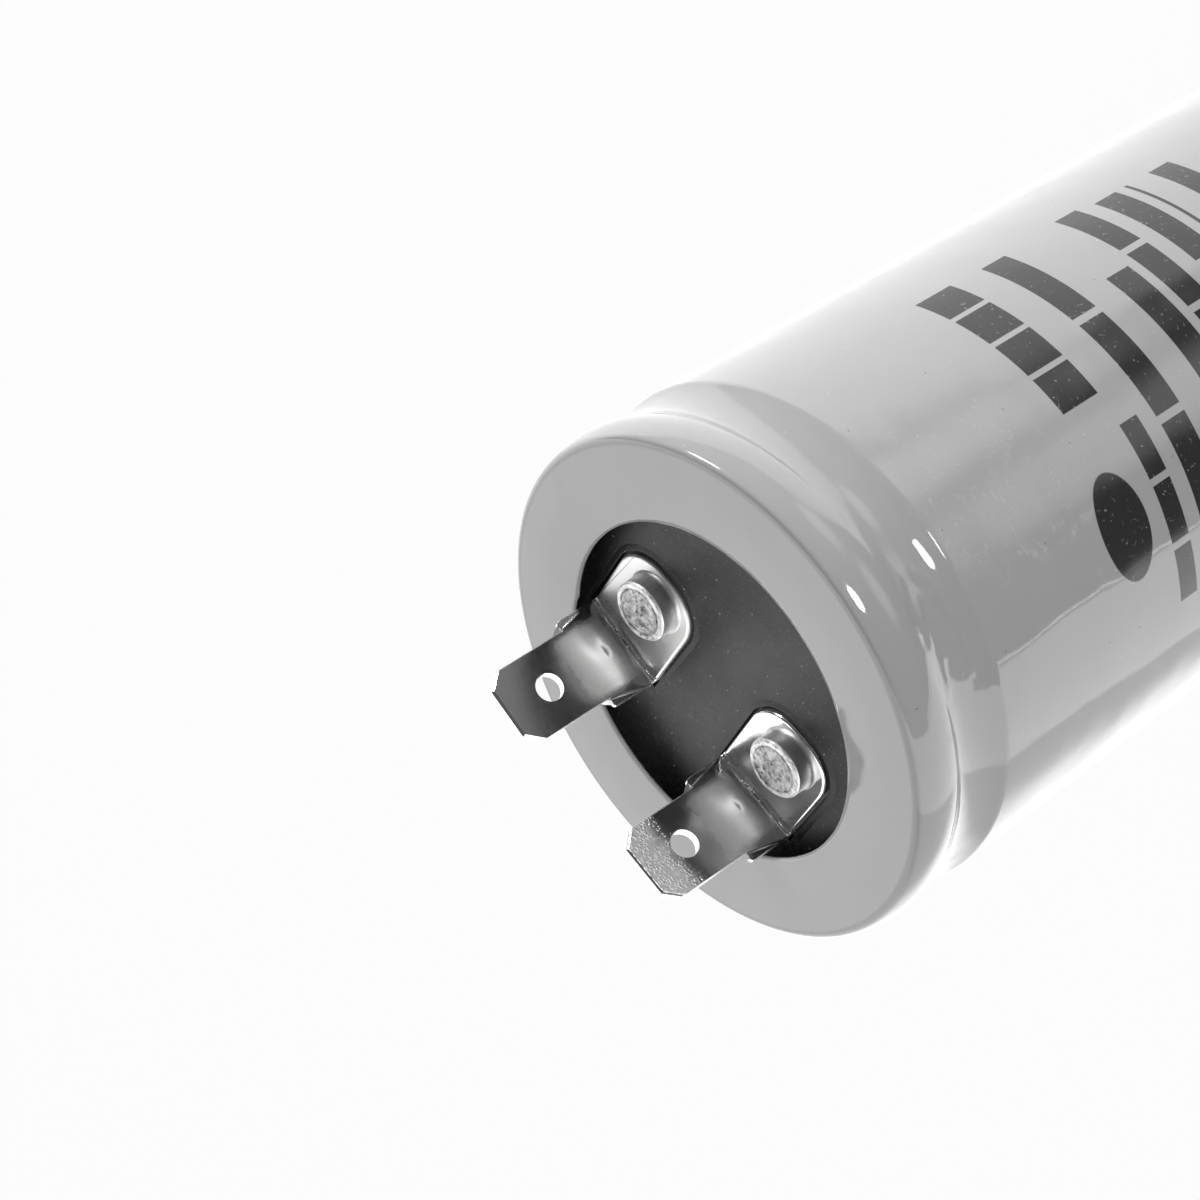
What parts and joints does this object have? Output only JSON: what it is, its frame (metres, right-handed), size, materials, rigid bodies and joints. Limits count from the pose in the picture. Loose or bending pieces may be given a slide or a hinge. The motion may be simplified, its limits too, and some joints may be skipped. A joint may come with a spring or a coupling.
{
  "type": "motor start capacitor",
  "caption": "Cylindrical aluminium can capacitor in a shrunk grey sleeve, beaded below a black rubber deck with two riveted quick-connect tabs.",
  "frame": {"origin": "centre of the resting face, which is the sleeve's ring under the base", "axes": "+Z along the can towards the terminals, X along the line of the two rivets with terminal_a at +X, +Y from the rivets to the tabs"},
  "size_m": [0.0426, 0.0426, 0.09],
  "materials": {
    "sleeve": "glossy shrunk tube, grey",
    "can": "drawn, plain",
    "rubber": "satin black",
    "laminate": "brown paper laminate",
    "terminal": "tinned, satin",
    "rivet": "turned side, pitted end",
    "washer": "plain",
    "lead": "plain foil strip",
    "winding": "foil and soaked paper",
    "wrap": "closing paper and tape",
    "insulator": "pressed paper"
  },
  "bodies": {
    "root": {"sleeve": "sleeve", "can": "can", "rubber_facing": "rubber", "deck_board": "laminate", "terminal_a": "terminal", "terminal_b": "terminal", "rivet_a": "rivet", "rivet_b": "rivet", "washer_a": "washer", "washer_b": "washer", "lead_tab_a": "lead", "lead_tab_b": "lead", "winding": "winding", "winding_wrap": "wrap", "top_insulator": "insulator", "base_insulator": "insulator"}
  },
  "joints": []
}
